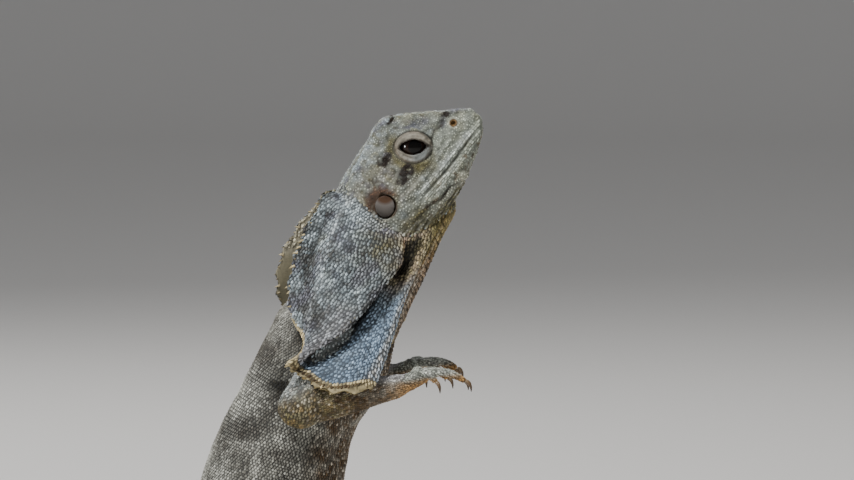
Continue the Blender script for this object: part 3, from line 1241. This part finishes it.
def paint_head(hide, head):
    """Grey green, with a pale lip band, olive under the eye, and dark marks behind it."""
    back, up, out, specks, fine = hide.back, hide.up, hide.out, hide.specks, hide.fine
    lay = hide.brush(head)
    lay("crown", 1.0)
    lay("mist", smooth(0.1, 0.9, specks) * 0.4)
    lay("shade", smooth(0.15, 0.8, fine) * smooth(13, 19, up) * 0.75)
    lay("mist", smooth(0.0, 0.6, -specks) * smooth(20, 25, up + 0.15 * (back - 20)) * 0.8)
    lay("snout", (1 - smooth(13, 18, back)) * (1 - smooth(10, 13, up)) * 0.8)
    lay("lips", fade(up - 1.6, 1.1) * within(back, (2, 6), (26, 32)) * (0.55 + 0.3 * specks))
    cheek = smooth(25, 30, back) * within(up, (3, 6), (18, 22))
    lay("cream", cheek * (0.2 + 0.25 * specks))
    lay("shade", cheek * smooth(-0.2, 0.6, fine) * 0.85)
    ahead = (back - EYE_BACK) * 0.64 + (up - EYE_UP) * 0.77
    below = (back - EYE_BACK) * 0.77 - (up - EYE_UP) * 0.64
    under_eye = fade(eye_edges(hide.body)[1] - 1.25, 0.28) * smooth(-1.5, 3.5, 0.6 * ahead + 0.8 * below)
    lay("moss", under_eye * 0.9)
    lay("moss", blot(back, up, (23.6, 7.2), (3.2, 2.0)) * 1.1)
    lay("slate", smooth(0.1, 0.7, field(hide.body, 3.6, 19)) * smooth(8.5, 10, up) * 0.6)
    lay("olive", smooth(-0.2, 0.7, field(hide.body, 4.5, 12)) * 0.3)
    lay("snout", (1 - smooth(-1.5, 1.0, up)) * (0.5 + 0.3 * specks))
    lay("umber", (1 - smooth(-2.5, 0.5, up)) * smooth(0.15, 0.75, fine + 0.5 * specks) * 0.7)
    lay("pearl", blot(back, up, (29.9, 4.5), (3.2, 1.5)) * 0.7)
    lay("pearl", blot(back, up, (26.0, -5.8), (6.5, 0.6)) * 0.8)
    for ends in SNOUT_BANDS:
        lay("slate", fade(beside(back, up, *ends), 0.9) * smooth(-0.3, 0.5, fine + 0.4) * 0.75)
    on_the_side = smooth(1.5, 4.5, np.abs(out))
    for spot, size, share in HEAD_MARKS:
        lay("dark", on_the_side * blot(back, up, spot, size) * share * (1 + 0.9 * fine))
    for ends in HEAD_LINES:
        lay("dark", fade(beside(back, up, *ends), 0.42) * 0.75)
    throat = smooth(-6.4, -7.4, up) * smooth(17, 22, back)
    throat = np.maximum(throat, smooth(31, 36, back) * (1 - smooth(-2.5, 1.5, up)) * 0.8)
    pleats = field(np.stack([back * 0.3, up * 1.5, out * 0.2], 1), 1.0, 21)
    lay("moss", throat * 0.85)
    lay("pale", throat * smooth(0.1, 0.6, pleats) * 0.7)
    lay("deep", throat * smooth(0.1, 0.6, -pleats) * 0.85)
    lay("pearl", blot(back, up, TUBERCLE_AT, (1.6, 1.5)) * 1.3)


def paint_head_openings(hide, head):
    """The rusty ear, the lids, the nostril's rings and the dark line of the mouth."""
    back, up, specks, fine = hide.back, hide.up, hide.specks, hide.fine
    lay = hide.brush(head)
    ear = from_ear(back, up)
    lay("rust", fade(ear - 1.35, 0.4) * smooth(-1, 3, up - EAR_UP + 0.3 * (EAR_BACK - back)))
    lay("rust", blot(back, up, (41.0, 13.4), (3.2, 1.6)) * (0.8 + 0.4 * fine))
    lay("rust", (ear < 1.1) * 0.8)
    inner, outer = eye_edges(hide.body)
    eye = head_point(EYE_BACK, EYE_UP, 0)
    below = smooth(-0.8, 0.8, eye[2] - hide.z)
    lids = hide.brush(head * (1 - smooth(0.97, 1.03, outer)))
    lids("lid", 1.0)
    lids("mist", below * smooth(-4, 3, hide.x - eye[0]) * 0.6)
    lids("umber", smooth(0.25, 0.8, fine + 0.6 * specks) * 0.35)
    lids("umber", smooth(0.84, 0.97, outer) * (0.3 + 0.35 * below))
    lay("dark", fade(outer - 1.05, 0.05) * (1.0 - 0.3 * below))
    lids("dark", fade(inner - 1.12, 0.16) * (1 - below) * 0.8)
    lay("dark", (1 - smooth(0.98, 1.08, inner)) * 0.95)
    for name, full, gone, share in NOSTRIL_RINGS:
        lay(name, (1 - smooth(full, gone, from_nostril(back, up))) * share)
    from_mouth = np.abs(up - mouth_wave(back))
    lay("dark", (1 - smooth(0.15, 0.45, from_mouth)) * within(back, (1, 7), (24, 31)) * 0.6)
    streaky = field(np.stack([back * 0.45, up * 1.3, hide.out], 1), 1.0, 24)
    hide.colour[head, :3] *= np.clip(1.17 + 0.3 * fine + 0.3 * streaky, 0.45, 1.8)[head, None]


def paint_frill(hide, frill):
    """Blue grey panels, ochre pleats under the throat, and cream along the margin."""
    u, v, face = hide.u, hide.v, hide.face
    patches, specks, fine = hide.patches, hide.specks, hide.fine
    lay = hide.brush(frill)
    behind = 1 - smooth(5, 6, u)
    lay("frill", 1.0)
    lay("mist", (1 - smooth(3.2, 4.6, u)) * smooth(-0.3, 0.7, specks) * 0.75)
    lay("snout", (1 - smooth(4.2, 5.2, u)) * smooth(0.0, 0.8, -patches) * 0.6)
    lay("shade", behind * smooth(0.05, 0.7, patches + 0.5 * fine) * 0.75)
    lay("shade", behind * smooth(0.2, 0.8, field(hide.body, 2.0, 15)) * 0.5)
    lay("slate", behind * smooth(-0.2, 0.5, field(hide.body, 6.5, 16)) * 0.6)
    lay("mist", (1 - smooth(2.6, 3.6, u)) * (1 - smooth(0.1, 0.35, v)) * (0.4 + 0.6 * specks))
    lay("deep", fade(u - 1.2, 0.32) * within(v, (0.03, 0.12), (0.5, 0.7)) * 0.6)
    crests = fade(u - 2.0, 0.22) + fade(u - 4.15, 0.2) * smooth(0.3, 0.4, v)
    lay("bright", crests * smooth(-0.4, 0.5, hide.tiny) * 0.6)
    below_ear = within(u, (2.8, 3.6), (4.8, 5.6)) * within(v, (0.03, 0.1), (0.24, 0.4))
    lay("moss", below_ear * (0.45 + 0.4 * specks))
    root = (1 - smooth(0.22, 0.5, v)) * smooth(3.4, 5.0, u)
    lay("ochre", root * 0.5)
    lay("olive", root * smooth(-0.3, 0.5, specks) * 0.6)
    streaks = field(np.stack([u * 2.4, v * 3.2, face], 1), 1.0, 6)
    lay("shade", smooth(0.15, 0.8, streaks) * (0.3 + 0.3 * root))
    lay("lilac", within(u, (2.4, 3.4), (4.4, 5.2)) * smooth(0.5, 0.75, v) * 0.6)
    lay("blue", within(u, (4.6, 5.6), (8.2, 8.8)) * smooth(0.3, 0.6, v) * (0.85 + 0.2 * specks))
    lay("ochre", smooth(8.4, 9.4, u) * 0.5)
    for crest in THROAT_CRESTS:
        lay("cream", fade(u - crest, CREST_WIDTH) * smooth(0.02, 0.1, v) * (0.5 + 0.2 * specks))
    lay("deep", smooth(0.2, 0.6, valley(u, v)) * 0.94)
    creases = sum(fade(u - middle, width) for middle, width in THROAT_CREASES)
    lay("deep", creases * (0.8 + 0.25 * fine))
    lay("olive", smooth(6.5, 8, u) * (1 - smooth(0.12, 0.35, v)) * 0.6)
    inside = hide.brush(frill & (face < 0))
    inside("tan", 0.9)
    inside("moss", smooth(-0.1, 0.8, patches + 0.4 * specks) * 0.45)
    lay("rim", smooth(0.925, 0.94, v) * 0.95)
    edge = hide.brush(frill & (face > 0) & (u > FRONT_PART))
    line = fade(v - 0.966, 0.007)
    edge("umber", line * (0.9 + 0.3 * specks))
    edge("dark", line * 0.35)


def hide_colour(body, labels, sheet, plates):
    """The markings at points in millimetres. Plates carry them paler than the skin between them."""
    hide = Hide(body, labels, sheet)
    head, frill = hide.zone(*HEAD_PARTS), hide.zone(*FRILL_PARTS)
    arms = hide.zone(*(f"{part}_{word}" for part in ("upper_arm", "forearm", "hand")
                       for word in SIDE_NAMES.values()))
    paint_body(hide, ~(head | frill | arms), arms)
    for side in (RIGHT, LEFT):
        paint_limbs(hide, side)
    paint_head(hide, head)
    paint_head_openings(hide, head)
    paint_frill(hide, frill)
    if not plates:
        share = np.select([head, arms, frill], [BETWEEN_SCALES[name] for name in ("head", "arms", "frill")],
                          BETWEEN_SCALES["body"])
        lids = head * (1 - smooth(1.0, 1.1, eye_edges(body)[1]))
        share = share * (1 - lids) + BETWEEN_SCALES["lids"] * lids
        share = np.where(frill & (hide.v > BARE_RIM), BETWEEN_SCALES["rim"], share)
        share = np.where(frill & (hide.face < 0), BETWEEN_SCALES["inside"], share)
        hide.colour[:, :3] *= share[:, None]
    return hide.colour


def hide_group():
    """The markings, as the mesh carries them, with fine mottling, wear on raised scales and small relief."""
    tree = bpy.data.node_groups.new("scaly hide", "ShaderNodeTree")
    add_sockets(tree, "INPUT", Mottle_Scale="Float", Grain_Scale="Float", Grain_Height="Float")
    add_sockets(tree, "OUTPUT", Colour="Color", Normal="Vector")
    given, out = node(tree, "NodeGroupInput"), node(tree, "NodeGroupOutput")
    base = node(tree, "ShaderNodeAttribute", attribute_name="base")
    relief = node(tree, "ShaderNodeAttribute", attribute_name="relief")
    where = node(tree, "ShaderNodeTexCoord")
    mottle = node(tree, "ShaderNodeTexNoise", {"Detail": 3.0, "Roughness": 0.6})
    grain = node(tree, "ShaderNodeTexNoise", {"Detail": 2.0})
    limits = ("From Min", "From Max", "To Min", "To Max")
    uneven = node(tree, "ShaderNodeMapRange", zip(limits, (0.3, 0.7, 0.86, 1.12)))
    raised = node(tree, "ShaderNodeMapRange", zip(limits, (0.0, 1.0, 0.3, 1.38)))
    both = node(tree, "ShaderNodeMath", operation="MULTIPLY")
    tint = node(tree, "ShaderNodeVectorMath", operation="SCALE")
    bump = node(tree, "ShaderNodeBump", {"Strength": 0.35})
    link_all(tree, [
        (where, "Object", mottle, "Vector"),
        (where, "Object", grain, "Vector"),
        (given, "Mottle Scale", mottle, "Scale"),
        (given, "Grain Scale", grain, "Scale"),
        (given, "Grain Height", bump, "Distance"),
        (mottle, "Fac", uneven, "Value"),
        (relief, "Fac", raised, "Value"),
        (uneven, "Result", both, 0),
        (raised, "Result", both, 1),
        (base, "Color", tint, 0),
        (both, "Value", tint, "Scale"),
        (tint, "Vector", out, "Colour"),
        (grain, "Fac", bump, "Height"),
        (bump, "Normal", out, "Normal"),
    ])
    return tree


def new_material(name, settings):
    """A material with these values on its shader, its node tree and the shader."""
    made = bpy.data.materials.new(name)
    made.use_nodes = True
    shader = made.node_tree.nodes["Principled BSDF"]
    for socket, value in settings.items():
        shader.inputs[socket].default_value = value
    return made, made.node_tree, shader


def hide_material(name, roughness):
    made, tree, shader = new_material(name, {"Roughness": roughness, "Specular IOR Level": 0.2})
    group = node(tree, "ShaderNodeGroup", node_tree=HIDE)
    for socket, value in HIDE_VALUES.items():
        group.inputs[socket].default_value = value
    link_all(tree, [(group, "Colour", shader, "Base Color"), (group, "Normal", shader, "Normal")])
    return made


def banded_material(name, attribute, stops, roughness, coat=0.0):
    """A plain surface whose colour follows a value the mesh carries, through the given stops."""
    settings = {"Roughness": roughness, "Coat Weight": coat, "Coat Roughness": 0.04,
                "Specular IOR Level": 0.12}
    made, tree, shader = new_material(name, settings)
    value = node(tree, "ShaderNodeAttribute", attribute_name=attribute)
    ramp = node(tree, "ShaderNodeValToRGB")
    while len(ramp.color_ramp.elements) < len(stops):
        ramp.color_ramp.elements.new(0.5)
    for element, (at, colour) in zip(ramp.color_ramp.elements, stops):
        element.position = at
        element.color = colour
    link_all(tree, [(value, "Fac", ramp, "Fac"), (ramp, "Color", shader, "Base Color")])
    return made


def make_eye(side):
    """A smooth eyeball inside the lids: black pupil, a thin brown iris and a wet surface."""
    centre = head_point(EYE_BACK, EYE_UP, side * EYE_OUT)
    gaze = unit(np.array((GAZE[0], side, GAZE[1])))
    over = unit(HEAD_UP - gaze * (HEAD_UP @ gaze))
    ahead = np.cross(over, gaze)
    ways = [gaze]
    for tilt in math.pi * np.arange(1, EYE_RINGS) / EYE_RINGS:
        for turn in FULL_TURN * np.arange(EYE_TURNS) / EYE_TURNS:
            flat = over * math.cos(turn) + ahead * math.sin(turn)
            ways.append(gaze * math.cos(tilt) + flat * math.sin(tilt))
    ways = np.array([*ways, -gaze])
    last, bottom = len(ways) - 1, 1 + (EYE_RINGS - 2) * EYE_TURNS
    steps = [(k, (k + 1) % EYE_TURNS) for k in range(EYE_TURNS)]
    faces = [(1 + after, 1 + k, 0) for k, after in steps]
    faces += [(ring + after, ring + after + EYE_TURNS, ring + k + EYE_TURNS, ring + k)
              for ring in range(1, bottom, EYE_TURNS) for k, after in steps]
    faces += [(bottom + k, bottom + after, last) for k, after in steps]
    name = "eye_" + SIDE_NAMES[side]
    eye = object_from(name + "_ball", place(centre + ways * EYE_RADIUS), faces, EYE_PAINT)
    add_attribute(eye, "ring", "FLOAT", np.degrees(np.arccos(np.clip(ways @ gaze, -1, 1))) / 90)
    finish(eye, "eye", name)


def smooth_copy(name, new_name, levels, material, slot, root):
    """A CAD node's own shape, rounded over, in place of the node. tip runs from 0 at root to 1."""
    bm = node_copy(name)
    mesh = bpy.data.meshes.new(new_name)
    bm.to_mesh(mesh)
    bm.free()
    made = object_of(new_name, mesh, material)
    modifier = made.modifiers.new("rounder", "SUBSURF")
    modifier.levels = levels
    modifier.render_levels = levels
    apply_modifiers(made)
    shade_smooth(made.data, True)
    away = np.linalg.norm(design(mesh_arrays(made.data)[0]) - root, axis=1)
    add_attribute(made, "tip", "FLOAT", away / away.max())
    finish(made, slot, name)


def make_eardrum(side):
    """The eardrum, browner towards its top."""
    word = SIDE_NAMES[side]
    top = head_point(EAR_BACK, EAR_UP, side * EAR_OUT) + (0, 0, EAR_RADII[1])
    smooth_copy("ear_" + word, "eardrum_" + word, 2, EAR_PAINT, "ear", top)


def make_claws(kind, side):
    """Five claws, pale brown at the root, which is nearest the palm or sole, and dark at the tip."""
    if kind == "hand":
        middle = on_side(KNUCKLES, side) + (HAND_LAG[side], 0, 0)
    else:
        middle = on_side(BALL_OF_FOOT, side)
    for number in range(1, 6):
        name = f"claw_{kind}_{SIDE_NAMES[side]}_{number}"
        (x0, y0, z0), (x1, y1, z1) = (design(corner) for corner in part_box(name))
        corners = [(x, y, max(z0, z1)) for x in (x0, x1) for y in (y0, y1)]
        root = min(corners, key=lambda corner: math.dist(corner[:2], middle[:2]))
        smooth_copy(name, f"{name}_horn", 1, CLAW_PAINT, "claw", root)


def make_floor():
    """A pale floor that sweeps up behind the animal."""
    turns = np.linspace(0, math.pi / 2, 16)
    sweep = [(SWEEP_START + SWEEP_RADIUS * math.sin(turn), SWEEP_RADIUS * (1 - math.cos(turn)))
             for turn in turns]
    profile = [(-FLOOR_HALF, 0.0), *sweep, (SWEEP_START + SWEEP_RADIUS, FLOOR_HALF)]
    points = [(x, y, z) for y, z in profile for x in (-FLOOR_HALF, FLOOR_HALF)]
    faces = [(k, k + 1, k + 3, k + 2) for k in range(0, len(points) - 2, 2)]
    pale = new_material("floor", {"Base Color": FLOOR_COLOUR, "Roughness": FLOOR_ROUGHNESS})[0]
    object_from("floor", points, faces, pale)


def make_lights():
    """A large soft lamp high in front, weaker ones behind and to the side, and a pale surround."""
    middle = Vector(place(LAMP_TARGET))
    for name, spot, size, power, reflected, lighting in LAMPS:
        data = bpy.data.lights.new(name, "AREA")
        data.shape = "DISK"
        data.size = size
        data.energy = power
        lamp = object_of(name, data)
        lamp.location = middle + Vector(spot)
        lamp.rotation_euler = (-Vector(spot)).to_track_quat("-Z", "Y").to_euler()
        lamp.visible_glossy = reflected
        lamp.visible_diffuse = lighting
    world = bpy.data.worlds.new("studio")
    world.use_nodes = True
    background = world.node_tree.nodes["Background"]
    background.inputs["Color"].default_value = WORLD_COLOUR
    background.inputs["Strength"].default_value = WORLD_LIGHT
    bpy.context.scene.world = world


def make_camera():
    """The photo's view: level with the head, square to the animal's right side."""
    lean = math.radians(CAMERA_ELEVATION)
    data = bpy.data.cameras.new("camera")
    data.sensor_width = SENSOR_WIDTH
    data.lens = CAMERA_LENS
    data.clip_end = 50
    offset = Vector((0, -math.cos(lean), math.sin(lean))) * CAMERA_DISTANCE
    camera = object_of("camera", data)
    camera.location = Vector(place(CAMERA_TARGET)) + offset
    camera.rotation_euler = (-offset).to_track_quat("-Z", "Y").to_euler()
    bpy.context.scene.camera = camera


def limb_coat(side):
    """The scales of one side's limbs: rows along their lengths, and strewn ones on hands and feet."""
    x, wide = LIMB_TILES[side]
    made = []
    for kind, start, end, radii, spacing, shares, (y, high) in LIMB_LENGTHS:
        made.append(limb_rows(kind, side, start, end, radii, spacing, shares, (x, y, wide, high)))
    for kind, (y, high) in LIMB_ENDS:
        parts = [f"{kind}_{SIDE_NAMES[side]}"]
        made.append(strewn(parts, even(HAND_SPACING), FORWARD, 7, (x, y, wide, high)))
    return made


def frill_coat():
    """The scales of both halves of the frill, on both faces, with what fills the gaps between the rows."""
    made = []
    for number, side in enumerate((RIGHT, LEFT)):
        for step, face in enumerate((1, -1)):
            tile = (0.54 + 0.22 * number, 0.42 + 0.28 * step, 0.2, 0.26)
            made.append(frill_rows(side, face, FRILL_SPACING[face], tile))
    gaps = strewn(FRILL_PARTS, even(FRILL_GAP_SPACING), DOWNWARD, 13, FRILL_GAP_TILE, clear_of=together(made))
    gaps.sheet = sheet_at(design(gaps.hits), gaps.normals, gaps.labels)
    return together([*made, gaps.chosen(~bare_frill(*gaps.sheet.T))])


def make_coat():
    """Every scale of the animal, as a few meshes."""
    trunk = tube_rows(body_line, body_girth, TRUNK_SPACING, TRUNK, TRUNK_TILE, 0.0, TRUNK_END / BODY_SPANS)
    tail = tube_rows(body_line, body_girth, TAIL_SPACING, TAIL, TAIL_TILE, TAIL_START / BODY_SPANS, 1.0)
    limbs = limb_coat(RIGHT) + limb_coat(LEFT)
    plain = [name for name in FLESH if name.split("_")[0] not in ("head", "lower", "frill", "hand", "foot")]
    rows = together([trunk, tail, *limbs])
    limbs.append(strewn(plain, even(GAP_SPACING), DOWNWARD, 11, GAP_TILE, clear_of=rows))
    face = strewn(HEAD_PARTS, head_spacing, BACKWARD, 3, HEAD_TILE, bare_head)
    margins = together([frill_margin(side, MARGIN_TILES[side]) for side in (RIGHT, LEFT)])
    make_plates("trunk_scales", "keeled", trunk, (1.02, 0.88, 1.0))
    make_plates("tail_scales", "keeled", tail, (1.15, 1.0, 1.1))
    make_plates("limb_scales", "keeled", together(limbs), (1.12, 1.0, 0.9))
    make_plates("head_scales", "grain", face, (1.15, 1.0, 0.75), wear=0.72)
    make_plates("lid_scales", "grain", lid_rows(LID_TILE), (1.0, 1.0, 0.9), wear=0.7)
    make_plates("lip_scales", "block", lip_rows(LIP_TILE), (1.08, 0.56, 0.4), wear=0.6)
    make_plates("frill_scales", "keeled", frill_coat(), (1.2, 0.88, 1.1), "frill_skin")
    make_plates("margin_scales", "point", margins, (0.75, 0.85, 0.85), "frill_skin")


def finish_skin():
    """Paints the skin with the same markings as its scales, and sets it in place of the flesh."""
    body = design(surface.points)
    sheet = sheet_at(body, surface.normals, surface.labels)
    skin.data.materials.clear()
    skin.data.materials.append(SKIN)
    add_attribute(skin, "base", "FLOAT_COLOR", hide_colour(body, surface.labels, sheet, False))
    add_attribute(skin, "relief", "FLOAT", np.full(len(body), 0.5))
    finish(skin, "skin", *FLESH)


FOLDS = {side: Folds(side) for side in (RIGHT, LEFT)}
flesh_points, flesh_faces, OWNERS = grown_flesh()
FLESH_TREE = BVHTree.FromPolygons(flesh_points, flesh_faces)
skin = voxel_skin(flesh_points, flesh_faces)
shape_skin(skin)
surface = Surface(skin.data)

TREE = plate_tree()
HIDE = hide_group()
SKIN = hide_material("skin", 0.62)
COAT = hide_material("scales", 0.56)
EYE_PAINT = banded_material("eye", "ring", EYE_STOPS, 0.15, 0.15)
EAR_PAINT = banded_material("ear", "tip", EAR_STOPS, 0.45)
CLAW_PAINT = banded_material("claw", "tip", CLAW_STOPS, 0.3, 0.3)

finish_skin()
make_coat()
for side in (RIGHT, LEFT):
    make_eye(side)
    make_eardrum(side)
for kind in ("hand", "foot"):
    for side in (RIGHT, LEFT):
        make_claws(kind, side)
make_floor()
make_lights()
make_camera()
